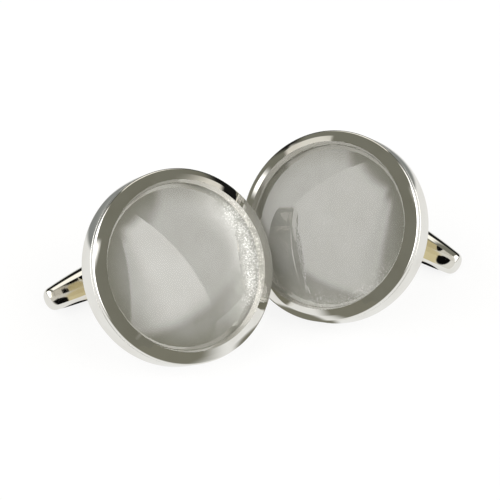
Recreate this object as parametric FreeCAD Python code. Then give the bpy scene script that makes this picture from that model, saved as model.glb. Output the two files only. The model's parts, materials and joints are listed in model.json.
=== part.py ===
import FreeCAD, Part
import math
import os

# A pair of round cufflinks with swivel bars, standing on a table on their cups and bars.
# Each link is drawn in its own frame: z is the way its face looks, y runs along the pivot pin,
# x runs along the bar, and the origin is the middle of the lip's outer edge. All sizes are in millimetres.

# Cup
face_diameter = 20.0
cup_depth = 3.0
cup_wall = 0.8
cup_floor = 1.2
cup_back_round = 0.3
seat_inset = 1.2
seat_rise = 0.15

# Bezel ring: a bevelled lip that rises to a crest, and a mouth that narrows from there to the glass
lip_crest_inset = 1.08
lip_crest_rise = 0.72
lip_bulge = 0.05
lip_edge_round = 0.6
lip_crest_round = 0.15
mouth_inset = 1.35
ring_seam_drop = 0.45
spigot_clearance = 0.02

# Glass, pearly disc and the films that bond them
dome_edge = 0.82
dome_rise = 1.7
dome_clearance = 0.05
pearl_thickness = 0.8
pearl_clearance = 0.04
film_thickness = 0.08

# Post: foot, blade and cam head
post_offset = 1.75
post_reach = 13.85
foot_diameter = 3.4
foot_sink = 0.45
foot_clearance = 0.02
foot_fillet = 0.25
blade_thickness = 1.5
blade_width = 1.8
blade_round = 0.2
head_width = 1.9
head_turning_diameter = 2.4

# Swivel bar
bar_length = 19.4
bar_diameter = 4.0
bar_side_curve = 55.0
bar_nose_round = 0.75
slot_side_clearance = 0.1
slot_end_clearance = 0.12

# Pivot pin
pin_diameter = 1.2
pin_running_clearance = 0.04
pin_end_round = 0.08

# Leaf spring
leaf_thickness = 0.2
leaf_length = 2.3
leaf_width = 1.4
leaf_gap = 0.02
leaf_bend_room = 0.4
leaf_seat_length = 0.4
leaf_seat_clearance = 0.05

# How the pair stands: turn about the vertical, roll about the face's own axis, the way from the left
# link to the right one along the table, and the clearance between them
left_turn = 36.0
left_roll = 1.5
right_turn = -34.0
right_roll = 7.6
pair_heading = 24.2
pair_clearance = 0.1

# One overrun serves all cuts, an edge within the tolerance of a plane lies on it, and the place of the
# right link is found to within its own tolerance
overrun = 1.0
plane_tolerance = 0.001
place_tolerance = 0.0001

# Halvings in the search for the angle at which a link rests
halvings = 50

# Sizes that follow from those above
face_radius = face_diameter / 2
bore_radius = face_radius - cup_wall
crest_radius = face_radius - lip_crest_inset
mouth_radius = face_radius - mouth_inset
back_z = -cup_depth
seat_z = back_z - seat_rise
seat_radius = face_radius - seat_inset
floor_z = back_z + cup_floor
rim_z = -ring_seam_drop
pearl_z = floor_z + film_thickness
dome_film_z = pearl_z + pearl_thickness
dome_z = dome_film_z + film_thickness
dome_radius = mouth_radius - dome_clearance
blade_half = blade_width / 2
pin_radius = pin_diameter / 2
bar_radius = bar_diameter / 2
bar_half = bar_length / 2
slot_half = blade_thickness / 2 + slot_side_clearance
channel_half = blade_half + slot_end_clearance
leaf_face_x = head_width / 2 + leaf_gap
leaf_back_x = leaf_face_x + leaf_thickness
leaf_relief_half = leaf_length / 2 - leaf_seat_length

Vector = FreeCAD.Vector
ACROSS = Vector(1, 0, 0)
ALONG_PIN = Vector(0, 1, 0)
OUTWARD = Vector(0, 0, 1)
CENTRE = Vector(0, 0, 0)


def turned(edges):
    """The solid swept by a closed outline in the x-z plane, turned once about z."""
    face = Part.Face(Part.Wire(edges))
    return face.revolve(CENTRE, OUTWARD, 360)


def line(start, end):
    """A straight edge between two (radius, z) points."""
    return Part.makeLine(Vector(start[0], 0, start[1]), Vector(end[0], 0, end[1]))


def arc(start, middle, end):
    """A round edge through three (radius, z) points."""
    points = [Vector(radius, 0, z) for radius, z in (start, middle, end)]
    return Part.Arc(*points).toShape()


def block(x_range, y_half, z_range):
    """A box from its x and z limits, centred on y."""
    size = (x_range[1] - x_range[0], 2 * y_half, z_range[1] - z_range[0])
    return Part.makeBox(*size, Vector(x_range[0], -y_half, z_range[0]))


def rod(radius, half_length):
    """A round rod along the pin axis, centred on the origin."""
    return Part.makeCylinder(radius, 2 * half_length, Vector(0, -half_length, 0), ALONG_PIN)


def plate(radius, z_low, thickness):
    """A round plate square to the face's axis."""
    return Part.makeCylinder(radius, thickness, Vector(0, 0, z_low), OUTWARD)


# Cup: floor, wall, rounded back edge, and a raised seat for the cuff with a socket for the post's foot
def make_cup():
    diagonal_share = math.sin(math.radians(45))
    flat_radius = face_radius - cup_back_round
    round_top = back_z + cup_back_round
    round_middle = (flat_radius + cup_back_round * diagonal_share, round_top - cup_back_round * diagonal_share)
    cup = turned([
        line((0, seat_z), (seat_radius, seat_z)),
        line((seat_radius, seat_z), (seat_radius + seat_rise, back_z)),
        line((seat_radius + seat_rise, back_z), (flat_radius, back_z)),
        arc((flat_radius, back_z), round_middle, (face_radius, round_top)),
        line((face_radius, round_top), (face_radius, rim_z)),
        line((face_radius, rim_z), (bore_radius, rim_z)),
        line((bore_radius, rim_z), (bore_radius, floor_z)),
        line((bore_radius, floor_z), (0, floor_z)),
        line((0, floor_z), (0, seat_z)),
    ])
    socket = plate(foot_diameter / 2 + foot_clearance, seat_z - overrun, overrun + foot_sink)
    socket.translate(ALONG_PIN * post_offset)
    return cup.cut(socket)


def level_circles(shape, radius, z):
    """The round edges of a turned solid that lie at one radius and one z."""
    return [
        edge for edge in shape.Edges
        if edge.BoundBox.ZLength < plane_tolerance
        and abs(edge.BoundBox.ZMin - z) < plane_tolerance
        and abs(edge.BoundBox.XMax - radius) < plane_tolerance
    ]


# Bezel ring: a spigot in the cup's bore, the bevelled lip with a slight bulge, and the mouth
def make_bezel_ring():
    spigot_radius = bore_radius - spigot_clearance
    spigot_z = dome_film_z + spigot_clearance
    slope = math.hypot(lip_crest_inset, lip_crest_rise)
    bevel_middle = (face_radius - lip_crest_inset / 2 + lip_bulge * lip_crest_rise / slope,
                    lip_crest_rise / 2 + lip_bulge * lip_crest_inset / slope)
    ring = turned([
        line((face_radius, rim_z), (face_radius, 0)),
        arc((face_radius, 0), bevel_middle, (crest_radius, lip_crest_rise)),
        line((crest_radius, lip_crest_rise), (mouth_radius, 0)),
        line((mouth_radius, 0), (mouth_radius, spigot_z)),
        line((mouth_radius, spigot_z), (spigot_radius, spigot_z)),
        line((spigot_radius, spigot_z), (spigot_radius, rim_z)),
        line((spigot_radius, rim_z), (face_radius, rim_z)),
    ])
    ring = ring.makeFillet(lip_edge_round, level_circles(ring, face_radius, 0))
    return ring.makeFillet(lip_crest_round, level_circles(ring, crest_radius, lip_crest_rise))


# Glass dome: a plain edge under a spherical crown
def make_glass_dome():
    edge_z = dome_z + dome_edge
    crown_z = edge_z + dome_rise
    crown_radius = (dome_radius ** 2 + dome_rise ** 2) / (2 * dome_rise)
    half_way = math.asin(dome_radius / crown_radius) / 2
    middle = (crown_radius * math.sin(half_way), crown_z - crown_radius * (1 - math.cos(half_way)))
    return turned([
        line((0, dome_z), (dome_radius, dome_z)),
        line((dome_radius, dome_z), (dome_radius, edge_z)),
        arc((dome_radius, edge_z), middle, (0, crown_z)),
        line((0, crown_z), (0, dome_z)),
    ])


# Pearly disc on the cup's floor, with a bonding film under it and another over it
def make_pearl_disc():
    return plate(bore_radius - pearl_clearance, pearl_z, pearl_thickness)


def make_disc_bond():
    return plate(bore_radius - pearl_clearance, floor_z, film_thickness)


def make_dome_bond():
    return plate(dome_radius, dome_film_z, film_thickness)


# Post: a round foot in the cup's socket, a flat blade, and a square cam head with rounded corners
def make_post():
    blade = block((-blade_half, blade_half), blade_thickness / 2, (-post_reach, seat_z))
    long_edges = [edge for edge in blade.Edges if abs(edge.tangentAt(edge.FirstParameter).z) == 1]
    blade = blade.makeFillet(blade_round, long_edges)
    blade.translate(ALONG_PIN * post_offset)
    foot = plate(foot_diameter / 2, seat_z, foot_sink)
    foot.translate(ALONG_PIN * post_offset)
    stem = foot.fuse(blade).removeSplitter()
    root_edges = [
        edge for edge in stem.Edges
        if edge.BoundBox.ZLength < plane_tolerance
        and abs(edge.BoundBox.ZMin - seat_z) < plane_tolerance
        and edge.BoundBox.DiagonalLength < foot_diameter
    ]
    stem = stem.makeFillet(foot_fillet, root_edges)
    half = head_width / 2
    head = block((-half, half), blade_thickness / 2, (-half, half))
    head = head.common(rod(head_turning_diameter / 2, blade_thickness))
    head.translate(Vector(0, post_offset, -post_reach))
    hole = rod(pin_radius + pin_running_clearance, blade_thickness)
    hole.translate(Vector(0, post_offset, -post_reach))
    return stem.fuse(head).cut(hole).removeSplitter()


# Swivel bar, drawn about its pin with the slotted half towards +x: a barrel with rounded noses
def bar_profile_radius(x):
    return bar_radius - bar_side_curve + math.sqrt(bar_side_curve ** 2 - x ** 2)


def make_swivel_bar():
    end_radius = bar_profile_radius(bar_half)
    quarter_radius = bar_profile_radius(bar_half / 2)
    outline = [
        Part.makeLine(Vector(-bar_half, 0, 0), Vector(bar_half, 0, 0)),
        Part.makeLine(Vector(bar_half, 0, 0), Vector(bar_half, 0, end_radius)),
        Part.Arc(Vector(bar_half, 0, end_radius), Vector(bar_half / 2, 0, quarter_radius),
                 Vector(0, 0, bar_radius)).toShape(),
        Part.Arc(Vector(0, 0, bar_radius), Vector(-bar_half / 2, 0, quarter_radius),
                 Vector(-bar_half, 0, end_radius)).toShape(),
        Part.makeLine(Vector(-bar_half, 0, end_radius), Vector(-bar_half, 0, 0)),
    ]
    bar = Part.Face(Part.Wire(outline)).revolve(CENTRE, ACROSS, 360)
    nose_edges = [
        edge for edge in bar.Edges
        if edge.BoundBox.XLength < plane_tolerance
        and abs(edge.BoundBox.XMin) > bar_half / 2
    ]
    bar = bar.makeFillet(bar_nose_round, nose_edges)
    top = bar_radius + overrun
    cuts = [
        block((-channel_half, bar_half + overrun), slot_half, (0, top)),
        block((0, bar_half + overrun), slot_half, (-channel_half, top)),
        rod(head_turning_diameter / 2 + slot_end_clearance, slot_half),
        block((-leaf_back_x, 0), slot_half, (-leaf_length / 2 - leaf_seat_clearance,
                                             leaf_length / 2 + leaf_seat_clearance)),
        block((-leaf_back_x - leaf_bend_room, 0), slot_half, (-leaf_relief_half, leaf_relief_half)),
        rod(pin_radius, top),
    ]
    return bar.cut(cuts[0].multiFuse(cuts[1:]))


# Pivot pin: a rivet, flush with the bar's sides
def make_pivot_pin():
    half_length = math.sqrt(bar_radius ** 2 - pin_radius ** 2)
    pin = rod(pin_radius, half_length)
    ends = [edge for edge in pin.Edges if edge.BoundBox.YLength < plane_tolerance]
    return pin.makeFillet(pin_end_round, ends)


# Leaf spring: a strip across its relief, close against the cam head
def make_leaf_spring():
    return block((-leaf_back_x, -leaf_face_x), leaf_width / 2, (-leaf_length / 2, leaf_length / 2))


def make_link(slot_side):
    """The ten pieces of one link; slot_side is 1 where the bar's slotted half points to +x, or -1."""
    pieces = {
        "cup": make_cup(),
        "bezel_ring": make_bezel_ring(),
        "glass_dome": make_glass_dome(),
        "pearl_disc": make_pearl_disc(),
        "dome_bond": make_dome_bond(),
        "disc_bond": make_disc_bond(),
        "post": make_post(),
    }
    bar_pieces = {
        "swivel_bar": make_swivel_bar(),
        "pivot_pin": make_pivot_pin(),
        "leaf_spring": make_leaf_spring(),
    }
    for name, shape in bar_pieces.items():
        if slot_side < 0:
            shape = shape.mirror(CENTRE, ACROSS)
        shape.translate(Vector(0, post_offset, -post_reach))
        pieces[name] = shape
    return pieces


def rest_tilt(roll):
    """How far the face looks up when the cup's back edge and the bar both touch the table, in radians."""
    low, high = 0.0, math.pi / 2
    for _ in range(halvings):
        tilt = (low + high) / 2
        dip = math.asin(math.sin(roll) * math.cos(tilt))
        bar_drop = bar_side_curve - (bar_side_curve - bar_radius) * math.cos(dip)
        bar_low = -post_reach * math.sin(tilt) + post_offset * math.cos(roll) * math.cos(tilt) - bar_drop
        if bar_low > -cup_drop(tilt):
            low = tilt
        else:
            high = tilt
    return tilt


def cup_drop(tilt):
    """How far the cup's back edge reaches below the middle of the lip's outer edge."""
    return ((cup_depth - cup_back_round) * math.sin(tilt) + (face_radius - cup_back_round) * math.cos(tilt)
            + cup_back_round)


def standing(turn, roll, slot_side, step):
    """The placement of a link that stands on the table, with its smooth bar end dipped by the roll."""
    tilt = rest_tilt(math.radians(roll))
    turn_part = FreeCAD.Rotation(OUTWARD, turn)
    tilt_part = FreeCAD.Rotation(ACROSS, 90 - math.degrees(tilt))
    roll_part = FreeCAD.Rotation(OUTWARD, roll * slot_side)
    place = Vector(step[0], step[1], cup_drop(tilt))
    return FreeCAD.Placement(place, turn_part.multiply(tilt_part).multiply(roll_part))


def head_standing(turn, roll, slot_side, step):
    """The plain outline of a standing link's cup and ring, with its glass, as one shape."""
    outline = plate(face_radius, seat_z, lip_crest_rise - seat_z)
    head = Part.makeCompound([outline, make_glass_dome()])
    head.Placement = standing(turn, roll, slot_side, step)
    return head


def pair_step():
    """The step along the table from the left link to the right one that leaves the clearance between them."""
    heading = Vector(math.cos(math.radians(pair_heading)), math.sin(math.radians(pair_heading)), 0)
    left_head = head_standing(left_turn, left_roll, 1, CENTRE)
    step = heading * 2 * face_diameter
    spare = face_diameter
    while spare > place_tolerance:
        right_head = head_standing(right_turn, right_roll, -1, step)
        spare = left_head.distToShape(right_head)[0] - pair_clearance
        step -= heading * spare
    return step


links = {
    "left": (1, standing(left_turn, left_roll, 1, CENTRE)),
    "right": (-1, standing(right_turn, right_roll, -1, pair_step())),
}

nodes = {}
for side, (slot_side, placement) in links.items():
    for name, shape in make_link(slot_side).items():
        shape.Placement = placement.multiply(shape.Placement)
        nodes[f"{side}_{name}"] = shape

# The origin is on the table, under the middle of the pair's box
box = Part.makeCompound(list(nodes.values())).optimalBoundingBox()
to_origin = Vector(-box.Center.x, -box.Center.y, -box.ZMin)

os.makedirs("parts", exist_ok=True)
for name, shape in nodes.items():
    shape.translate(to_origin)
    shape.exportStep(os.path.join("parts", name + ".step"))
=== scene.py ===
"""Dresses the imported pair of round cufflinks: smooth metal, domed glass, pearly discs and a pale studio."""
import json
import math

import bpy
from bpy.props import FloatProperty, FloatVectorProperty, PointerProperty
from mathutils import Matrix, Vector


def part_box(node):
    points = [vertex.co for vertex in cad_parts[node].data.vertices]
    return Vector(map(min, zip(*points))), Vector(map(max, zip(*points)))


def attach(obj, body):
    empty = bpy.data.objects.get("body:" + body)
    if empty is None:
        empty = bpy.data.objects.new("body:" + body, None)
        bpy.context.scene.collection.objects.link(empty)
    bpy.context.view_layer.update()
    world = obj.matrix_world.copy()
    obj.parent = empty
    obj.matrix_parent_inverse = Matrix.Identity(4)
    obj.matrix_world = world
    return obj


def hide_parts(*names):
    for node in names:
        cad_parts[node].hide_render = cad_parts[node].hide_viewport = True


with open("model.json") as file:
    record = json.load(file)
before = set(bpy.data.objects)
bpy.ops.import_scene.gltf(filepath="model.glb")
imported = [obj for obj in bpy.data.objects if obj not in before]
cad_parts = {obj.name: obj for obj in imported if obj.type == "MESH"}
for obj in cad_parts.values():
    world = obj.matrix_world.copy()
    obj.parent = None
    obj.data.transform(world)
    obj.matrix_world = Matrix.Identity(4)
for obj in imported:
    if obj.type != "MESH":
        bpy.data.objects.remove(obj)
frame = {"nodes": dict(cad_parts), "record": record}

bl_info = {
    "name": "Cufflink dresser",
    "version": (1, 0, 0),
    "blender": (4, 5, 0),
    "location": "3D View > Sidebar > Cufflinks",
    "description": "Models the visible pieces of a pair of swivel-bar cufflinks over their solids",
    "category": "Object",
}

MM = 0.001
TURN = 2 * math.pi
SIDES = ("left", "right")
X_AXIS = Vector((1, 0, 0))
Y_AXIS = Vector((0, 1, 0))
Z_AXIS = Vector((0, 0, 1))
WHITE = (1.0, 1.0, 1.0, 1.0)

# Steps once round a turned piece
FACE_STEPS = 256
DISC_STEPS = 192
BAR_STEPS = 128
FOOT_STEPS = 64
PIN_STEPS = 64
HOLE_STEPS = 48
FLOOR_STEPS = 96

# Steps along a curve of an outline: a rounded corner, a large one, the glass's crown, the bar's side and the
# room for its cam head
CORNER_PARTS = 8
FINE_CORNER_PARTS = 12
CROWN_PARTS = 48
BAR_PARTS = 24
BORE_PARTS = 8

# Faces that meet at less than this are shaded as one, and points closer than this are merged
SMOOTH_ANGLE = math.radians(30)
MERGE_WITHIN = 0.001 * MM

RECORD = frame["record"]
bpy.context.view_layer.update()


def size(label, text, millimetres):
    """A length in millimetres, kept in metres."""
    return FloatProperty(name=label, description=text, default=millimetres * MM, unit="LENGTH", precision=6)


def angle(label, text, degrees):
    return FloatProperty(name=label, description=text, default=math.radians(degrees), subtype="ANGLE")


def share(label, text, value):
    return FloatProperty(name=label, description=text, default=value, subtype="FACTOR", min=0, max=1)


def strength(label, text, value):
    return FloatProperty(name=label, description=text, default=value, min=0)


def colour(label, text, red, green, blue):
    return FloatVectorProperty(name=label, description=text, default=(red, green, blue), subtype="COLOR",
                               size=3, min=0, max=1)


# Sizes of the pieces: as on the solids, apart from the lip's bevel, the open seam and the bar's flat


class CufflinkSizes(bpy.types.PropertyGroup):
    face_diameter: size("Face diameter", "Across the cup and its bezel ring", 20.0)
    cup_depth: size("Cup depth", "From the lip's outer edge to the back", 3.0)
    cup_wall: size("Cup wall", "Thickness of the cup's side", 0.8)
    cup_floor: size("Cup floor", "Thickness of the cup's back", 1.2)
    back_round: size("Back round", "Rounding of the cup's back edge", 0.3)
    seat_inset: size("Seat inset", "From the cup's side to the raised seat", 1.2)
    seat_rise: size("Seat rise", "How far the seat stands out of the back", 0.15)
    fine_round: size("Fine round", "Rounding of edges that are left crisp", 0.04)
    seam_round: size("Seam round", "Rounding of the two edges that meet at the seam", 0.05)
    seam_gap: size("Seam gap", "Opening of the seam", 0.07)
    seam_drop: size("Seam drop", "From the lip's outer edge to the seam of cup and ring", 0.45)
    crest_inset: size("Crest inset", "From the ring's side to the lip's crest", 1.25)
    crest_rise: size("Crest rise", "Height of the lip's sharp crest", 0.80)
    edge_rise: size("Edge rise", "Height of the lip's outer edge before it is rounded", 0.15)
    edge_round: size("Edge round", "Rounding of the lip's outer edge", 0.30)
    bevel_crown: size("Bevel crown", "How far the middle of the lip's bevel stands out", 0.015)
    bevel_round: size("Bevel round", "Rounding of the bevel's middle", 1.2)
    mouth_inset: size("Mouth inset", "From the ring's side to the glass", 1.50)
    spigot_clearance: size("Spigot clearance", "Between the ring's spigot and the cup", 0.02)
    film: size("Film", "Thickness of a bonding film", 0.08)
    pearl_thickness: size("Pearl thickness", "Thickness of the pearly disc", 0.8)
    pearl_clearance: size("Pearl clearance", "Between the pearly disc and the cup", 0.04)
    dome_edge: size("Dome edge", "Straight edge of the glass", 0.82)
    dome_rise: size("Dome rise", "Crown of the glass above its edge", 1.7)
    dome_clearance: size("Dome clearance", "Between the glass and the ring", 0.03)
    dome_sink: size("Dome sink", "How far the glass is wetted into the disc's face", 0.01)
    foot_diameter: size("Foot diameter", "Across the post's foot", 3.4)
    foot_sink: size("Foot sink", "Depth of the foot's socket", 0.45)
    foot_clearance: size("Foot clearance", "Between the foot and its socket", 0.02)
    bar_length: size("Bar length", "End to end", 19.4)
    bar_diameter: size("Bar diameter", "At the middle", 4.0)
    bar_curve: size("Bar side curve", "Radius of the bar's swelling side", 55.0)
    nose_round: size("Nose round", "Rounding of the bar's ends", 0.75)
    nose_reach: size("Nose reach", "From the bar's end to where its swelling side starts", 0.9)
    flat_share: share("Flat share", "Height of the bar's flat side, which faces the cup, over its radius", 0.80)
    slot_width: size("Slot width", "Slot for the post", 1.7)
    channel_half: size("Channel half", "Half of the slot's depth and its reach past the pin", 1.02)
    head_bore: size("Head bore", "Radius cut for the turning head", 1.32)
    leaf_back: size("Leaf back", "From the pin to the back of the leaf spring", 1.17)
    leaf_half: size("Leaf half", "Half of the leaf spring's seat", 1.2)
    leaf_room: size("Leaf room", "Relief that the leaf bends into", 0.4)
    leaf_relief_half: size("Leaf relief half", "Half of the relief's length", 0.75)
    pin_diameter: size("Pin diameter", "Across the pin's hole", 1.2)
    pin_clearance: size("Pin clearance", "Between the pin and its hole", 0.02)
    pin_crown: size("Pin crown", "How far the rivet's ends are domed", 0.06)


class CufflinkFinishes(bpy.types.PropertyGroup):
    silver: colour("Silver", "Polished plating", 0.90, 0.89, 0.86)
    silver_shade: colour("Silver shade", "Faint cast left by handling", 0.83, 0.81, 0.77)
    pearl: colour("Pearl", "Ground of the pearly disc", 0.268, 0.267, 0.249)
    pearl_cloud: colour("Pearl cloud", "Darker, warmer clouds in the disc", 0.230, 0.227, 0.206)
    # Painted shade: the olive colour the disc darkens to towards its rim, standing in for the shade there
    pearl_rim: colour("Pearl rim", "Olive shade towards the disc's rim", 0.165, 0.162, 0.130)
    # White of the real grains and of the painted glints gathered on one side of the rim
    grain: colour("Grain", "White grains near the disc's rim", 0.92, 0.92, 0.90)
    glass: colour("Glass", "Clear domed glass", 0.985, 0.99, 0.985)
    steel: colour("Spring steel", "Bright strip of the leaf spring", 0.62, 0.63, 0.65)
    steel_shade: colour("Spring steel shade", "Rolled streaks in the strip", 0.50, 0.51, 0.53)
    adhesive: colour("Adhesive", "Clear cured film", 0.90, 0.90, 0.86)
    # Radii where the painted shade towards the rim starts and where it is full
    painted_shade_start: size("Shade start", "Radius on the disc where the olive shade starts", 5.6)
    painted_shade_end: size("Shade end", "Radius on the disc where the olive shade is full", 8.4)
    frost_and_glint_end: size("Frost end", "Radius on the disc where the frost is full", 7.8)


class CufflinkStage(bpy.types.PropertyGroup):
    floor_radius: size("Floor radius", "Reach of the pale floor", 300.0)
    floor: colour("Floor", "Pale floor", 0.93, 0.93, 0.92)
    mirrored_floor: colour("Mirrored floor", "Open floor as metal mirrors it", 0.84, 0.84, 0.82)
    far_floor: colour("Far floor", "Floor behind, as metal mirrors it", 0.24, 0.25, 0.24)
    # Painted warm light: the floor beside the cups, in shade and warm-lit, as metal mirrors it
    painted_warm_floor: colour("Warm floor", "Floor beside the cups, as metal mirrors it", 0.72, 0.64, 0.40)
    # Painted shade: the floor in front of and under the pair, as metal mirrors it
    painted_shade_floor: colour("Dim floor", "Floor in front of and under the pair, as metal mirrors it",
                      0.20, 0.196, 0.155)
    # Painted shadow: the floor under the bars' tips, as metal mirrors it
    tip_shade: colour("Tip shade", "Floor under the bars' tips, as metal mirrors it", 0.004, 0.004, 0.004)
    floor_glow: share("Floor glow", "Share of plain white in the floor that the camera sees", 0.85)
    room: colour("Room", "Grey-brown room around the table", 0.185, 0.183, 0.148)
    cool_lamp: colour("Cool lamp", "Colour of the screens in front", 1.0, 0.99, 0.97)
    warm_lamp: colour("Warm lamp", "Colour of the panels behind", 1.0, 0.97, 0.88)
    right_wall: strength("Right wall", "Radiance of the white screen on the right", 1.95)
    right_box: strength("Right box", "Radiance of the soft box in front of the right screen", 3.6)
    hot_spot: strength("Hot spot", "Radiance where the lamp shows through the right box", 3.8)
    left_wall: strength("Left wall", "Radiance of the white screen on the left", 1.95)
    left_box: strength("Left box", "Radiance of the soft box in front of the left screen", 2.5)
    back_panel: strength("Back panel", "Radiance of the panel above and behind", 1.15)
    side_panel: strength("Side panels", "Radiance of the narrow panels behind, to the sides", 0.75)
    black_gap: strength("Black gap", "Radiance of the black gap under the back panel", 0.01)
    lens: FloatProperty(name="Lens", description="Focal length on a 36 mm sensor", default=126.9, unit="CAMERA")
    camera_dip: angle("Camera dip", "How far the camera looks down", 38.04)


def sizes():
    return bpy.context.scene.cufflink_sizes


def finishes():
    return bpy.context.scene.cufflink_finishes


def staging():
    return bpy.context.scene.cufflink_stage


# Where each link stands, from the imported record


def named(rows, name):
    return next(row for row in rows if row["name"] == name)


def link_frame(side):
    """A link's own frame: z out of its face, y along its pin, origin in the middle of the lip's outer edge."""
    joint = named(RECORD["behaviour"]["joints"], side + "_bar_turn")
    seat = named(RECORD["mounts"], side + "_cuff_seat")
    outward = -Vector(seat["axis"]).normalized()
    along_pin = Vector(joint["axis"]).normalized()
    if along_pin.z < 0:
        along_pin.negate()
    across = along_pin.cross(outward)
    low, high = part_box(side + "_pearl_disc")
    middle = (Vector(low) + Vector(high)) / 2
    height = (middle - Vector(seat["pos_m"])).dot(outward)
    origin = middle + outward * (sizes().cup_depth + sizes().seat_rise - height)
    turn = Matrix((across, along_pin, outward)).transposed().to_4x4()
    return Matrix.Translation(origin) @ turn


def pivot(side):
    """The pin's middle in the link's own frame."""
    joint = named(RECORD["behaviour"]["joints"], side + "_bar_turn")
    return link_frame(side).inverted() @ Vector(joint["pos_m"])


# Outlines: points on a plane, with corners rounded where a radius is given


def evenly(first, last, parts):
    """Numbers from first to last, in equal steps."""
    return [first + (last - first) * part / parts for part in range(parts + 1)]


def rounded(corners, parts=CORNER_PARTS):
    """The points of an open outline given as (across, up, radius), each corner rounded by its radius."""
    points = []
    last = len(corners) - 1
    for index, (across, up, radius) in enumerate(corners):
        here = Vector((across, up))
        if radius == 0 or index in (0, last):
            points.append(here)
            continue
        before = (Vector(corners[index - 1][:2]) - here).normalized()
        after = (Vector(corners[index + 1][:2]) - here).normalized()
        half = before.angle(after) / 2
        middle = here + (before + after).normalized() * (radius / math.sin(half))
        start = here + before * (radius / math.tan(half)) - middle
        sweep = math.pi - 2 * half
        sign = 1 if before.x * after.y - before.y * after.x < 0 else -1
        for turn in evenly(0, sign * sweep, parts):
            points.append(middle + Matrix.Rotation(turn, 2) @ start)
    return points


def upright(points):
    """Outline points as points in the x-z plane."""
    return [Vector((across, 0, up)) for across, up in points]


def level(points):
    """Outline points as points in the x-y plane."""
    return [Vector((across, along, 0)) for across, along in points]


# Modelling steps that the pieces share


def deselect():
    bpy.ops.object.select_all(action="DESELECT")


def pick(piece):
    """Selects one piece alone and makes it active."""
    deselect()
    piece.select_set(True)
    bpy.context.view_layer.objects.active = piece


def begin_points(name, first):
    """A new object in edit mode that holds one point: a plane merged at its middle and moved."""
    deselect()
    bpy.ops.mesh.primitive_plane_add(size=MM, enter_editmode=True, location=(0, 0, 0))
    piece = bpy.context.object
    piece.name = piece.data.name = name
    bpy.ops.mesh.select_mode(type="VERT")
    bpy.ops.mesh.select_all(action="SELECT")
    bpy.ops.mesh.merge(type="CENTER")
    bpy.ops.transform.translate(value=first)
    return piece


def draw_line(name, points):
    """A line of edges, drawn by extruding a point from place to place and left selected."""
    piece = begin_points(name, points[0])
    for start, end in zip(points, points[1:]):
        bpy.ops.mesh.extrude_region_move(TRANSFORM_OT_translate={"value": end - start})
    bpy.ops.mesh.select_all(action="SELECT")
    return piece


def close_mesh():
    """Merges doubles, turns the faces outwards and leaves edit mode."""
    bpy.ops.mesh.select_all(action="SELECT")
    bpy.ops.mesh.remove_doubles(threshold=MERGE_WITHIN)
    bpy.ops.mesh.normals_make_consistent(inside=False)
    bpy.ops.object.mode_set(mode="OBJECT")


def lathe(name, points, axis, steps):
    """A turned piece: an outline drawn on one side of the axis and spun once round it."""
    piece = draw_line(name, points)
    bpy.ops.mesh.spin(steps=steps, angle=TURN, center=(0, 0, 0), axis=axis)
    close_mesh()
    return piece


def prism(name, corners, width):
    """An outline in the x-z plane, closed, filled and extruded to a width along y, half of it to each side."""
    points = [Vector((across, -width / 2, up)) for across, up in corners]
    piece = draw_line(name, points + points[:1])
    bpy.ops.mesh.edge_face_add()
    bpy.ops.mesh.extrude_region_move(TRANSFORM_OT_translate={"value": Y_AXIS * width})
    close_mesh()
    return piece


def cut(piece, other):
    """Cuts another shape from a piece and removes the other shape."""
    pick(piece)
    modifier = piece.modifiers.new("Cut", "BOOLEAN")
    modifier.object = other
    modifier.operation = "DIFFERENCE"
    modifier.solver = "EXACT"
    bpy.ops.object.modifier_apply(modifier=modifier.name)
    bpy.data.objects.remove(other, do_unlink=True)


def smooth(piece):
    pick(piece)
    bpy.ops.object.shade_smooth_by_angle(angle=SMOOTH_ANGLE)


def move_mesh(piece, matrix):
    """Moves a piece and applies the move, so that its place is in its mesh."""
    pick(piece)
    piece.matrix_world = matrix
    bpy.ops.object.transform_apply(location=True, rotation=True, scale=True)


def place_pair(pattern, stem, node, body, materials, at_pin=False):
    """Copies a finished pattern to both links, each copy with its own mesh, and removes the pattern. A pattern
    that was made round the pin goes there, the right one turned by half a turn."""
    smooth(pattern)
    for side in SIDES:
        piece = pattern.copy()
        piece.data = pattern.data.copy()
        piece.name = piece.data.name = f"{side}_{stem}"
        bpy.context.scene.collection.objects.link(piece)
        matrix = link_frame(side)
        if at_pin:
            spin = Matrix.Rotation(math.pi, 4, "Z") if side == "right" else Matrix.Identity(4)
            matrix = matrix @ Matrix.Translation(pivot(side)) @ spin
        move_mesh(piece, matrix)
        piece.data.materials.clear()
        piece.data.materials.append(materials[side])
        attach(piece, f"{side}_{body}")
        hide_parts(f"{side}_{node}")
    bpy.data.objects.remove(pattern, do_unlink=True)


# Node work that the finishes and the stage share


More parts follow.
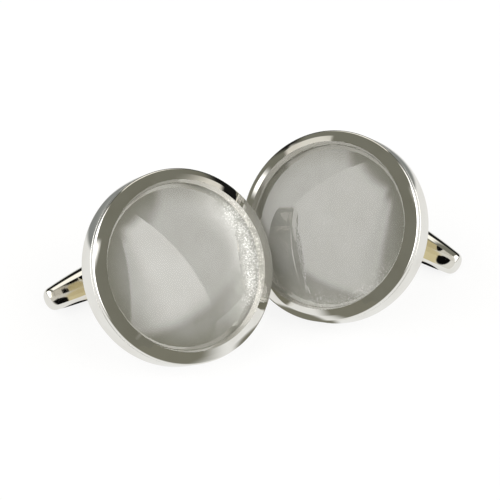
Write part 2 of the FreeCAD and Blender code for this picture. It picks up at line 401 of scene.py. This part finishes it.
class Wiring:
    """Adds nodes to one node tree. An input is given as a plain value or as the output that feeds it."""

    def __init__(self, tree):
        self.nodes = tree.nodes
        self.links = tree.links

    def fill(self, node, inputs):
        for label, value in inputs.items():
            if isinstance(value, bpy.types.NodeSocket):
                self.links.new(value, node.inputs[label])
            else:
                node.inputs[label].default_value = value

    def add(self, kind, inputs, **settings):
        node = self.nodes.new("ShaderNode" + kind)
        for key, value in settings.items():
            setattr(node, key, value)
        self.fill(node, inputs)
        return node

    def maths(self, operation, *values):
        return self.add("Math", dict(enumerate(values)), operation=operation).outputs["Value"]

    def vector(self, operation, *values):
        node = self.add("VectorMath", dict(enumerate(values)), operation=operation)
        return node.outputs["Value" if operation in ("LENGTH", "DOT_PRODUCT") else "Vector"]

    def scaled(self, vector, factor):
        return self.add("VectorMath", {0: vector, "Scale": factor}, operation="SCALE").outputs["Vector"]

    def ramp(self, value, low=0.0, high=1.0, first=0.0, last=1.0, shape="LINEAR"):
        """Takes low to first and high to last, straight between them and level beyond."""
        limits = {"Value": value, "From Min": low, "From Max": high, "To Min": first, "To Max": last}
        return self.add("MapRange", limits, interpolation_type=shape).outputs["Result"]

    def ease(self, value, low, high, first=0.0, last=1.0):
        """As a ramp, with soft ends."""
        return self.ramp(value, low, high, first, last, "SMOOTHSTEP")

    def noise(self, place, scale, detail=2.0, roughness=0.5):
        look = {"Vector": place, "Scale": scale, "Detail": detail, "Roughness": roughness}
        return self.add("TexNoise", look).outputs["Fac"]

    def tint(self, factor, first, second):
        """A colour from first, at 0, to second, at 1."""
        return self.add("Mix", {"Factor": factor, "A": first, "B": second}, data_type="RGBA").outputs["Result"]

    def bump(self, height, dent, depth):
        look = {"Height": height, "Strength": dent, "Distance": depth}
        return self.add("Bump", look).outputs["Normal"]

    def choose_shader(self, factor, first, second):
        """Shows the first shader at 0 and the second at 1."""
        shaders = {1: first.outputs[0], 2: second.outputs[0]}
        either = self.add("MixShader", {"Fac": factor, **shaders})
        self.fill(self.nodes["Material Output"], {"Surface": either.outputs["Shader"]})


def new_material(name):
    """A material, its wiring, its Object coordinates and its main shader."""
    material = bpy.data.materials.new(name)
    material.use_nodes = True
    wires = Wiring(material.node_tree)
    return material, wires, wires.add("TexCoord", {}).outputs["Object"], wires.nodes["Principled BSDF"]


def new_group(name, vectors, values, results):
    """A node group, its wiring, what it is given and the node that takes its results."""
    group = bpy.data.node_groups.new(name, "ShaderNodeTree")
    for label in vectors:
        group.interface.new_socket(label, in_out="INPUT", socket_type="NodeSocketVector")
    for label, default in values.items():
        socket = group.interface.new_socket(label, in_out="INPUT", socket_type="NodeSocketFloat")
        socket.default_value = default
    for label in results:
        group.interface.new_socket(label, in_out="OUTPUT", socket_type="NodeSocketFloat")
    given = group.nodes.new("NodeGroupInput").outputs
    return group, Wiring(group), given, group.nodes.new("NodeGroupOutput")


def rgba(value):
    return (value[0], value[1], value[2], 1.0)


# Finishes


def polish_group():
    """Handling marks on polished metal: hair-fine scratches and faint cloudy patches."""
    name = "Polish marks"
    if name in bpy.data.node_groups:
        return bpy.data.node_groups[name]
    values = {"Smooth": 0.04, "Hazy": 0.12, "Patch scale": 260.0, "Scratch scale": 2600.0}
    group, wires, given, leave = new_group(name, ["Vector"], values, ["Patches", "Roughness", "Height"])
    patches = wires.ramp(wires.noise(given["Vector"], given["Patch scale"], detail=3.0), low=0.42, high=0.72)
    stretched = wires.add("Mapping", {"Vector": given["Vector"], "Rotation": (0.5, 0.3, 0.9),
                                      "Scale": (1.0, 0.06, 1.0)}).outputs["Vector"]
    scratches = wires.ramp(wires.noise(stretched, given["Scratch scale"]), low=0.60, high=0.72)
    scratch_share = 0.35
    worn = wires.maths("MULTIPLY_ADD", scratches, scratch_share, patches)
    rough = wires.ramp(worn, first=given["Smooth"], last=given["Hazy"])
    wires.fill(leave, {"Patches": patches, "Roughness": rough, "Height": scratches})
    return group


def metal(name, bright, shade, smooth_at, hazy_at, patch_scale, scratch_scale, dent):
    """Metal with the shared handling marks in its colour, gloss and surface."""
    if name in bpy.data.materials:
        return bpy.data.materials[name]
    material, wires, place, shader = new_material(name)
    marks = wires.add("Group", {"Vector": place, "Smooth": smooth_at, "Hazy": hazy_at,
                                "Patch scale": patch_scale, "Scratch scale": scratch_scale},
                      node_tree=polish_group()).outputs
    wires.fill(shader, {
        "Base Color": wires.tint(marks["Patches"], rgba(bright), rgba(shade)),
        "Roughness": marks["Roughness"],
        "Normal": wires.bump(marks["Height"], dent, depth=0.004 * MM),
        "Metallic": 1.0,
    })
    return material


def polished_silver():
    looks = finishes()
    return metal("Polished silver", looks.silver, looks.silver_shade, smooth_at=0.01, hazy_at=0.04,
                 patch_scale=260.0, scratch_scale=2600.0, dent=0.03)


def rivet_silver():
    looks = finishes()
    return metal("Rivet silver", looks.silver_shade, looks.silver, smooth_at=0.06, hazy_at=0.16,
                 patch_scale=500.0, scratch_scale=3800.0, dent=0.08)


def spring_steel():
    looks = finishes()
    return metal("Spring steel", looks.steel, looks.steel_shade, smooth_at=0.18, hazy_at=0.34,
                 patch_scale=420.0, scratch_scale=5200.0, dent=0.2)


def clear_glass():
    """Clear polished glass that lets light straight through to the disc under it."""
    material, wires, place, shader = new_material("Clear glass")
    smears = wires.noise(place, scale=320.0, detail=3.0)
    wires.fill(shader, {
        "Base Color": rgba(finishes().glass),
        "Roughness": wires.ramp(smears, low=0.45, high=0.75, first=0.0, last=0.05),
        "Transmission Weight": 1.0,
        "IOR": 1.8,
    })
    path = wires.add("LightPath", {}).outputs
    lighting = wires.maths("MAXIMUM", path["Is Shadow Ray"], path["Is Diffuse Ray"])
    wires.choose_shader(lighting, shader, wires.add("BsdfTransparent", {}))
    return material


def clear_film():
    """Clear cured adhesive, all but invisible, with a faint cloud."""
    material, wires, place, shader = new_material("Clear film")
    cloud = wires.noise(place, scale=700.0)
    wires.fill(shader, {
        "Base Color": wires.tint(cloud, rgba(finishes().adhesive), rgba(finishes().pearl)),
        "Alpha": wires.ramp(cloud, last=0.04),
        "Roughness": 0.3,
    })
    return material


def frost_and_glint_group():
    """Frosty grains that gather on one side of a round face, with painted glints there: noise cut off where frost
    is rare, in a painted white haze.
    """
    name = "Frost grains"
    if name in bpy.data.node_groups:
        return bpy.data.node_groups[name]
    values = {"Spread": 0.2, "Inner": 6 * MM, "Outer": 8.6 * MM, "Amount": 1.0}
    group, wires, given, leave = new_group(name, ["Vector", "Towards"], values, ["Radius", "Grains"])
    flat = wires.vector("MULTIPLY", given["Vector"], (1.0, 1.0, 0.0))
    radius = wires.vector("LENGTH", flat)
    aim = wires.vector("NORMALIZE", flat)
    facing = wires.vector("DOT_PRODUCT", aim, given["Towards"])
    # How dense the frost is: towards the rim, to one side, in patches
    outward = wires.ease(radius, given["Inner"], given["Outer"])
    beside = wires.ease(facing, given["Spread"], high=0.95)
    patchy = wires.ease(wires.noise(flat, scale=900.0, roughness=0.65), low=0.3, high=0.7, first=0.72)
    dense = wires.maths("MULTIPLY", wires.maths("MULTIPLY", outward, beside), patchy)
    # The grains: fine noise drawn out a little along the radius, and more of it shown where the frost is dense
    drawn_out = wires.vector("ADD", wires.scaled(aim, factor=2.5 * MM), wires.scaled(flat, factor=0.7))
    fine = wires.noise(drawn_out, scale=5600.0, roughness=0.65)
    least = wires.ease(dense, low=0.0, high=1.0, first=0.76, last=0.42)
    grain_edge, grain_share, painted_haze_share = 0.24, 0.7, 0.55
    grains = wires.ease(fine, least, wires.maths("ADD", least, grain_edge))
    # Painted glow: a white haze where the frost is dense
    painted_haze = wires.maths("MULTIPLY", dense, painted_haze_share)
    grains_and_glints = wires.maths("ADD", wires.maths("MULTIPLY", grains, grain_share), painted_haze)
    wires.fill(leave, {"Radius": radius, "Grains": wires.maths("MULTIPLY", grains_and_glints, given["Amount"])})
    return group


# Frost of each disc, real grains with painted glints: the side it gathers on, in degrees round the face, how
# narrow it is there, the radius in millimetres where it starts, and how much of it there is
FROST_AND_GLINTS = {"left": (-10, 0.3, 4.2, 1.0), "right": (-48, 0.3, 5.4, 0.3)}


def pearl_disc(side):
    """Pearly ground with soft clouds, a painted olive shade darkening it towards the rim, and frosty grains with
    painted glints on one side of it.
    """
    looks = finishes()
    material, wires, place, shader = new_material(f"Pearl {side}")
    stand = link_frame(side)
    own = wires.add("Mapping", {"Vector": place, "Location": stand.translation,
                                "Rotation": stand.to_euler("XYZ")}, vector_type="TEXTURE").outputs["Vector"]
    clouds = wires.ramp(wires.noise(own, scale=420.0, detail=6.0, roughness=0.62), low=0.3, high=0.7)
    turn, spread, inner, amount = FROST_AND_GLINTS[side]
    towards = (math.cos(math.radians(turn)), math.sin(math.radians(turn)), 0)
    frost = wires.add("Group", {"Vector": own, "Towards": towards, "Spread": spread, "Inner": inner * MM,
                                "Outer": looks.frost_and_glint_end, "Amount": amount},
                      node_tree=frost_and_glint_group()).outputs
    ground = wires.tint(clouds, rgba(looks.pearl_cloud), rgba(looks.pearl))
    # Painted shade: the ground darkens to the olive rim colour towards the rim
    shade = wires.ease(frost["Radius"], looks.painted_shade_start, looks.painted_shade_end)
    shaded = wires.tint(shade, ground, rgba(looks.pearl_rim))
    # Grains and painted glints whiten the ground
    wires.fill(shader, {
        "Base Color": wires.tint(frost["Grains"], shaded, rgba(looks.grain)),
        "Normal": wires.bump(frost["Grains"], dent=0.2, depth=0.01 * MM),
        "Roughness": 0.45,
        "Specular IOR Level": 0.1,
    })
    return material


def both(material):
    return {side: material for side in SIDES}


# Operators, one for each kind of piece


class CUFFLINK_OT_cups(bpy.types.Operator):
    """Turns the cup of each link, with its raised seat and the socket for the post's foot"""
    bl_idname = "cufflink.cups"
    bl_label = "Add cups"

    def execute(self, context):
        s = sizes()
        face = s.face_diameter / 2
        bore = face - s.cup_wall
        seat = face - s.seat_inset
        back = -s.cup_depth
        outline = rounded([
            (0, back - s.seat_rise, 0),
            (seat, back - s.seat_rise, s.fine_round),
            (seat + s.seat_rise, back, s.fine_round),
            (face, back, s.back_round),
            (face, -s.seam_drop, s.seam_round),
            (bore, -s.seam_drop, 0),
            (bore, back + s.cup_floor, 0),
            (0, back + s.cup_floor, 0),
        ])
        cup = lathe("cup", upright(outline), Z_AXIS, FACE_STEPS)
        foot = s.foot_diameter / 2 + s.foot_clearance
        top = back - s.seat_rise + s.foot_sink
        below = top - s.cup_depth
        outline = [(0, top), (foot, top), (foot, below), (0, below)]
        socket = lathe("socket", upright(outline), Z_AXIS, FOOT_STEPS)
        move_mesh(socket, Matrix.Translation((0, pivot("left").y, 0)))
        cut(cup, socket)
        place_pair(cup, "cup_shell", "cup", "link", both(polished_silver()))
        return {"FINISHED"}


class CUFFLINK_OT_bezels(bpy.types.Operator):
    """Turns the bezel ring of each link: bevelled lip, sharp crest, mouth and spigot"""
    bl_idname = "cufflink.bezels"
    bl_label = "Add bezel rings"

    def execute(self, context):
        s = sizes()
        face = s.face_diameter / 2
        crest = face - s.crest_inset
        mouth = face - s.mouth_inset
        spigot = face - s.cup_wall - s.spigot_clearance
        foot = -s.cup_depth + s.cup_floor + s.film + s.pearl_thickness + s.spigot_clearance
        shoulder = s.seam_gap - s.seam_drop
        outline = rounded([
            (spigot, foot, 0),
            (spigot, shoulder, 0),
            (face, shoulder, s.seam_round),
            (face, s.edge_rise, s.edge_round),
            ((face + crest) / 2, (s.edge_rise + s.crest_rise) / 2 + s.bevel_crown, s.bevel_round),
            (crest, s.crest_rise, 0),
            (mouth, 0, s.fine_round),
            (mouth, foot, 0),
            (spigot, foot, 0),
        ], FINE_CORNER_PARTS)
        ring = lathe("ring", upright(outline), Z_AXIS, FACE_STEPS)
        place_pair(ring, "bezel_lip", "bezel_ring", "link", both(polished_silver()))
        return {"FINISHED"}


class CUFFLINK_OT_discs(bpy.types.Operator):
    """Turns the pearly disc of each link"""
    bl_idname = "cufflink.discs"
    bl_label = "Add pearly discs"

    def execute(self, context):
        s = sizes()
        radius = s.face_diameter / 2 - s.cup_wall - s.pearl_clearance
        low = -s.cup_depth + s.cup_floor + s.film
        high = low + s.pearl_thickness
        outline = rounded([(0, low, 0), (radius, low, s.fine_round), (radius, high, s.fine_round), (0, high, 0)])
        disc = lathe("disc", upright(outline), Z_AXIS, DISC_STEPS)
        place_pair(disc, "pearl_face", "pearl_disc", "link", {side: pearl_disc(side) for side in SIDES})
        return {"FINISHED"}


class CUFFLINK_OT_domes(bpy.types.Operator):
    """Turns the domed glass of each link, wetted onto the disc under it"""
    bl_idname = "cufflink.domes"
    bl_label = "Add glass domes"

    def execute(self, context):
        s = sizes()
        radius = s.face_diameter / 2 - s.mouth_inset - s.dome_clearance
        disc_top = -s.cup_depth + s.cup_floor + s.film + s.pearl_thickness
        base = disc_top - s.dome_sink
        edge = disc_top + s.film + s.dome_edge
        sphere = (radius ** 2 + s.dome_rise ** 2) / (2 * s.dome_rise)
        middle = edge + s.dome_rise - sphere
        crown = [(sphere * math.sin(turn), middle + sphere * math.cos(turn), 0)
                 for turn in evenly(math.asin(radius / sphere), 0, CROWN_PARTS)]
        outline = rounded([(0, base, 0), (radius, base, s.fine_round), (radius, edge, s.fine_round), *crown[1:]])
        dome = lathe("dome", upright(outline), Z_AXIS, FACE_STEPS)
        place_pair(dome, "stone_dome", "glass_dome", "link", both(clear_glass()))
        return {"FINISHED"}


# How far the cut of the bar's flat reaches, over the bar's half length
FLAT_REACH = 1.02

# The shoulder of a rivet's domed end, over the pin's radius and the dome's height
RIVET_SHOULDER = (0.6, 0.7)


def bar_radius(place):
    """The bar's radius at a place along it, from its middle."""
    s = sizes()
    return s.bar_diameter / 2 - s.bar_curve + math.sqrt(s.bar_curve ** 2 - place ** 2)


def bar_blank():
    """The bar before it is cut: a swelling side and rounded ends."""
    s = sizes()
    half = s.bar_length / 2
    swell = half - s.nose_reach
    end = bar_radius(half)
    sides = [(place, bar_radius(place), 0) for place in evenly(-swell, swell, BAR_PARTS)]
    outline = [(-half, 0, 0), (-half, end, s.nose_round), *sides, (half, end, s.nose_round), (half, 0, 0)]
    return lathe("bar", upright(rounded(outline, FINE_CORNER_PARTS)), X_AXIS, BAR_STEPS)


def bar_flat():
    """What is cut from above the bar's flat. The flat follows the swelling side, a little past both ends."""
    s = sizes()
    reach = FLAT_REACH * s.bar_length / 2
    over = s.bar_length / 2 + s.bar_diameter
    edge = [(place, s.flat_share * bar_radius(place)) for place in evenly(-reach, reach, BAR_PARTS)]
    return prism("above", edge + [(over, s.bar_diameter), (-over, s.bar_diameter)], 2 * s.bar_diameter)


def bar_slot():
    """What is cut for the post: the slot, the leaf spring's seat with its relief, and room for the cam head."""
    s = sizes()
    channel, back, bore, seat, relief = s.channel_half, s.leaf_back, s.head_bore, s.leaf_half, s.leaf_relief_half
    room = back + s.leaf_room
    high = s.bar_diameter
    over = s.bar_length / 2 + s.bar_diameter
    turns = evenly(math.asin(seat / bore), math.pi - math.asin(channel / bore), BORE_PARTS)
    corners = [(-channel, high), (-channel, seat), (-back, seat), (-back, relief), (-room, relief),
               (-room, -relief), (-back, -relief), (-back, -seat)]
    corners += [(-bore * math.cos(turn), -bore * math.sin(turn)) for turn in turns]
    return prism("slot", corners + [(over, -channel), (over, high)], s.slot_width)


def pin_hole():
    s = sizes()
    radius, reach = s.pin_diameter / 2, s.bar_diameter
    outline = [(0, -reach), (radius, -reach), (radius, reach), (0, reach)]
    return lathe("hole", level(outline), Y_AXIS, HOLE_STEPS)


class CUFFLINK_OT_bars(bpy.types.Operator):
    """Turns the swivel bar of each link and cuts its flat, its slot with the leaf's seat, and the pin's hole"""
    bl_idname = "cufflink.bars"
    bl_label = "Add swivel bars"

    def execute(self, context):
        bar = bar_blank()
        for shape in (bar_flat, bar_slot, pin_hole):
            cut(bar, shape())
        place_pair(bar, "torpedo_bar", "swivel_bar", "bar", both(polished_silver()), at_pin=True)
        return {"FINISHED"}


class CUFFLINK_OT_pins(bpy.types.Operator):
    """Turns the riveted pivot pin of each bar, with domed ends"""
    bl_idname = "cufflink.pins"
    bl_label = "Add pivot pins"

    def execute(self, context):
        s = sizes()
        radius = s.pin_diameter / 2 - s.pin_clearance
        half = math.sqrt((s.bar_diameter / 2) ** 2 - (s.pin_diameter / 2) ** 2)
        top = half + s.pin_crown
        across, up = RIVET_SHOULDER[0] * radius, half + RIVET_SHOULDER[1] * s.pin_crown
        outline = rounded([
            (0, top, 0),
            (across, up, radius / 2),
            (radius, half, s.fine_round),
            (radius, -half, s.fine_round),
            (across, -up, radius / 2),
            (0, -top, 0),
        ])
        pin = lathe("pin", level(outline), Y_AXIS, PIN_STEPS)
        place_pair(pin, "rivet", "pivot_pin", "bar", both(rivet_silver()), at_pin=True)
        return {"FINISHED"}


class CUFFLINK_OT_solids(bpy.types.Operator):
    """Gives the solids that stay in view their finishes: posts, leaf springs and bonding films"""
    bl_idname = "cufflink.solids"
    bl_label = "Finish posts, springs and films"

    def execute(self, context):
        film = clear_film()
        kept = {"post": polished_silver(), "leaf_spring": spring_steel(), "dome_bond": film, "disc_bond": film}
        for side in SIDES:
            for stem, material in kept.items():
                for slot in frame["nodes"][f"{side}_{stem}"].material_slots:
                    slot.material = material
        return {"FINISHED"}


class CUFFLINK_OT_stage(bpy.types.Operator):
    """Lays the pale floor, lights the studio and sets the camera"""
    bl_idname = "cufflink.stage"
    bl_label = "Set the stage"

    def execute(self, context):
        lay_floor()
        light_studio()
        set_camera()
        context.scene.view_settings.view_transform = "Standard"
        return {"FINISHED"}


# The stage

# Round patches of floor that metal mirrors darker or warmer, as painted shade and painted warm light, in
# millimetres: middle and reach, both (x, y)
SHADE_PATCHES = (((0.5, 4), (10, 7)), ((3, -4), (6, 9.5)))
WARM_LIGHT_PATCHES = (((-15.2, 0), (4, 4)), ((15.2, 6.5), (4, 4)))
TIP_SHADE_PATCHES = (((-19.2, -2.4), (1.7, 1.35)), ((18.9, 4.2), (1.5, 1.25)))

# Where a patch's edge starts and ends, over its reach
CRISP_EDGE = (0.85, 1.05)
SOFT_EDGE = (0.7, 1.1)

# Bands of mirrored floor, in millimetres: dim with painted shade up to a line in front, dark from a line behind,
# then less so by a share; both lines run aslant
FRONT_BAND = (-20, -13)
BACK_BAND = (28, 36)
FADE_BAND = (40, 100)
FADE_SHARE = 0.55
FRONT_SLOPE = 0.45
BACK_SLOPE = -0.25

# Specks in the floor, over its own colour
SPECK_SHADE = 0.985

# Panels of light: the stage's values for their radiance and colour, then, in degrees, the azimuth of the middle
# from the camera's side to the right, the edges (left, right, low, high) and how soft these are, and last how
# far the side edges lean. Each panel covers those before it.
PANELS = (
    ("right_wall", "cool_lamp", 67, (-53.5, 52, 5, 66), (2, 8, 9, 8), 0.18),
    ("right_box", "cool_lamp", 45, (-23, 21, 5, 72), (20, 1.5, 15, 8), 0.0),
    ("hot_spot", "cool_lamp", 45, (-16, 16, 28, 60), (15, 15, 15, 15), 0.0),
    ("left_wall", "cool_lamp", -67, (-54, 53, 3, 66), (4, 6, 6, 8), 0.0),
    ("left_box", "cool_lamp", -55, (-33, 33, 2, 72), (1.5, 10, 10, 8), 0.0),
    ("black_gap", "cool_lamp", 180, (-70, 54, -8, 34), (6, 4, 2, 9), 0.0),
    ("side_panel", "warm_lamp", 125, (-6, 6, 24, 52), (2, 3, 3, 3), 0.0),
    ("side_panel", "warm_lamp", -125, (-6, 6, 24, 52), (3, 2, 3, 3), 0.0),
    ("back_panel", "warm_lamp", 180, (-32, 32, 34, 68), (4, 4, 1, 3), 0.0),
)
EDGES = ("Left", "Right", "Low", "High")

# The camera's place from the middle of the left face and its sensor, in millimetres
CAMERA_PLACE = (6.611, -138.896, 110.737)
SENSOR_WIDTH = 36.0


def mirrored_floor(wires, place):
    """The floor's colour as metal mirrors it: pale, dark behind, with painted warm light beside the cups, painted
    shade in front of and under the pair, and a painted black shadow under the bars' tips."""
    look = staging()
    split = wires.add("SeparateXYZ", {"Vector": place}).outputs

    def outside(patches, edge):
        """0 inside the patches, 1 outside."""
        clear = 1.0
        for (x, y), (reach_x, reach_y) in patches:
            own = wires.add("Mapping", {"Vector": place, "Location": (x * MM, y * MM, 0),
                                        "Scale": (reach_x * MM, reach_y * MM, MM)}, vector_type="TEXTURE")
            away = wires.vector("LENGTH", own.outputs["Vector"])
            clear = wires.maths("MULTIPLY", clear, wires.ease(away, *edge))
        return clear

    def band(along, limits):
        return wires.ease(along, *(limit * MM for limit in limits))

    wedge = wires.maths("MULTIPLY_ADD", wires.maths("ABSOLUTE", split["X"]), FRONT_SLOPE, split["Y"])
    behind = wires.maths("MULTIPLY_ADD", split["X"], BACK_SLOPE, split["Y"])
    fade = wires.maths("MULTIPLY", band(behind, FADE_BAND), FADE_SHARE)
    far = wires.maths("MULTIPLY", band(behind, BACK_BAND), wires.maths("SUBTRACT", 1.0, fade))
    bright = wires.maths("MULTIPLY", outside(SHADE_PATCHES, CRISP_EDGE), band(wedge, FRONT_BAND))
    shown = wires.tint(far, rgba(look.mirrored_floor), rgba(look.far_floor))
    shown = wires.tint(outside(WARM_LIGHT_PATCHES, SOFT_EDGE), rgba(look.painted_warm_floor), shown)
    shown = wires.tint(bright, rgba(look.painted_shade_floor), shown)
    return wires.tint(outside(TIP_SHADE_PATCHES, CRISP_EDGE), rgba(look.tip_shade), shown)


def lay_floor():
    """A pale floor. The camera sees it all but white, with a faint shadow, and metal mirrors its patches of
    painted shade and painted warm light.
    """
    look = staging()
    deselect()
    bpy.ops.mesh.primitive_circle_add(vertices=FLOOR_STEPS, radius=look.floor_radius, fill_type="NGON",
                                      location=(0, 0, 0))
    floor = bpy.context.object
    floor.name = floor.data.name = "floor"
    material, wires, place, shader = new_material("Pale floor")
    speck = [value * SPECK_SHADE for value in look.floor]
    wires.fill(shader, {
        "Base Color": wires.tint(wires.noise(place, scale=900.0), rgba(look.floor), rgba(speck)),
        "Roughness": 0.9,
        "Specular IOR Level": 0.0,
    })
    path = wires.add("LightPath", {}).outputs
    seen = wires.tint(path["Is Camera Ray"], mirrored_floor(wires, place), WHITE)
    to_camera = wires.maths("MULTIPLY", path["Is Camera Ray"], look.floor_glow)
    glowing = wires.maths("MAXIMUM", to_camera, path["Is Glossy Ray"])
    wires.choose_shader(glowing, shader, wires.add("Emission", {"Color": seen}))
    floor.data.materials.append(material)


def panel_group():
    """A soft-edged panel of light: 1 inside its edges in azimuth and elevation, 0 outside, for a direction."""
    limits = dict.fromkeys(("Slant", *EDGES, *(edge + " soft" for edge in EDGES)), 0.0)
    group, wires, given, leave = new_group("Soft panel", ["Direction", "Turn"], limits, ["Mask"])
    turned = wires.add("Mapping", {"Vector": given["Direction"], "Rotation": given["Turn"]})
    split = wires.add("SeparateXYZ", {"Vector": turned.outputs["Vector"]}).outputs
    rise = wires.maths("ARCSINE", split["Z"])
    aside = wires.maths("ARCTAN2", split["X"], wires.maths("MULTIPLY", split["Y"], -1.0))
    aside = wires.maths("SUBTRACT", aside, wires.maths("MULTIPLY", rise, given["Slant"]))
    mask = 1.0
    for edge, along, sign in zip(EDGES, (aside, aside, rise, rise), ("ADD", "SUBTRACT") * 2):
        full = wires.maths(sign, given[edge], given[edge + " soft"])
        mask = wires.maths("MULTIPLY", mask, wires.ease(along, given[edge], full))
    wires.fill(leave, {"Mask": mask})
    return group


def light_studio():
    """A dim room with panels of light round the table. The camera itself sees white."""
    look = staging()
    world = bpy.data.worlds.new("Studio")
    bpy.context.scene.world = world
    world.use_nodes = True
    wires = Wiring(world.node_tree)
    direction = wires.add("TexCoord", {}).outputs["Generated"]
    soft_panel = panel_group()
    light = rgba(look.room)
    for radiance, lamp, middle, edges, softness, slant in PANELS:
        limits = {"Direction": direction, "Turn": (0, 0, -math.radians(middle)), "Slant": slant}
        for edge, limit, soft in zip(EDGES, edges, softness):
            limits[edge] = math.radians(limit)
            limits[edge + " soft"] = math.radians(soft)
        mask = wires.add("Group", limits, node_tree=soft_panel).outputs["Mask"]
        glow = [getattr(look, radiance) * value for value in getattr(look, lamp)]
        light = wires.tint(mask, light, rgba(glow))
    path = wires.add("LightPath", {}).outputs
    wires.fill(wires.nodes["Background"], {"Color": wires.tint(path["Is Camera Ray"], light, WHITE)})


def set_camera():
    look = staging()
    camera = bpy.data.objects.new("camera", bpy.data.cameras.new("camera"))
    bpy.context.scene.collection.objects.link(camera)
    camera.data.lens = look.lens
    camera.data.sensor_width = SENSOR_WIDTH
    camera.data.clip_start = 1 * MM
    camera.location = link_frame("left").translation + Vector(CAMERA_PLACE) * MM
    camera.rotation_euler = (math.pi / 2 - look.camera_dip, 0, 0)
    bpy.context.scene.camera = camera


class CUFFLINK_PT_panel(bpy.types.Panel):
    """Lists the steps that dress the pair"""
    bl_idname = "CUFFLINK_PT_panel"
    bl_label = "Cufflinks"
    bl_space_type = "VIEW_3D"
    bl_region_type = "UI"
    bl_category = "Cufflinks"

    def draw(self, context):
        for step in STEPS:
            self.layout.operator(step.bl_idname)


STEPS = (CUFFLINK_OT_cups, CUFFLINK_OT_bezels, CUFFLINK_OT_discs, CUFFLINK_OT_domes, CUFFLINK_OT_bars,
         CUFFLINK_OT_pins, CUFFLINK_OT_solids, CUFFLINK_OT_stage)
GROUPS = {"cufflink_sizes": CufflinkSizes, "cufflink_finishes": CufflinkFinishes, "cufflink_stage": CufflinkStage}


def register():
    for item in (*GROUPS.values(), *STEPS, CUFFLINK_PT_panel):
        bpy.utils.register_class(item)
    for name, group in GROUPS.items():
        setattr(bpy.types.Scene, name, PointerProperty(type=group))


def unregister():
    for name in GROUPS:
        delattr(bpy.types.Scene, name)
    for item in (CUFFLINK_PT_panel, *reversed(STEPS), *GROUPS.values()):
        bpy.utils.unregister_class(item)


def main():
    register()
    for step in STEPS:
        group, name = step.bl_idname.split(".")
        getattr(getattr(bpy.ops, group), name)()


if __name__ == "__main__":
    main()
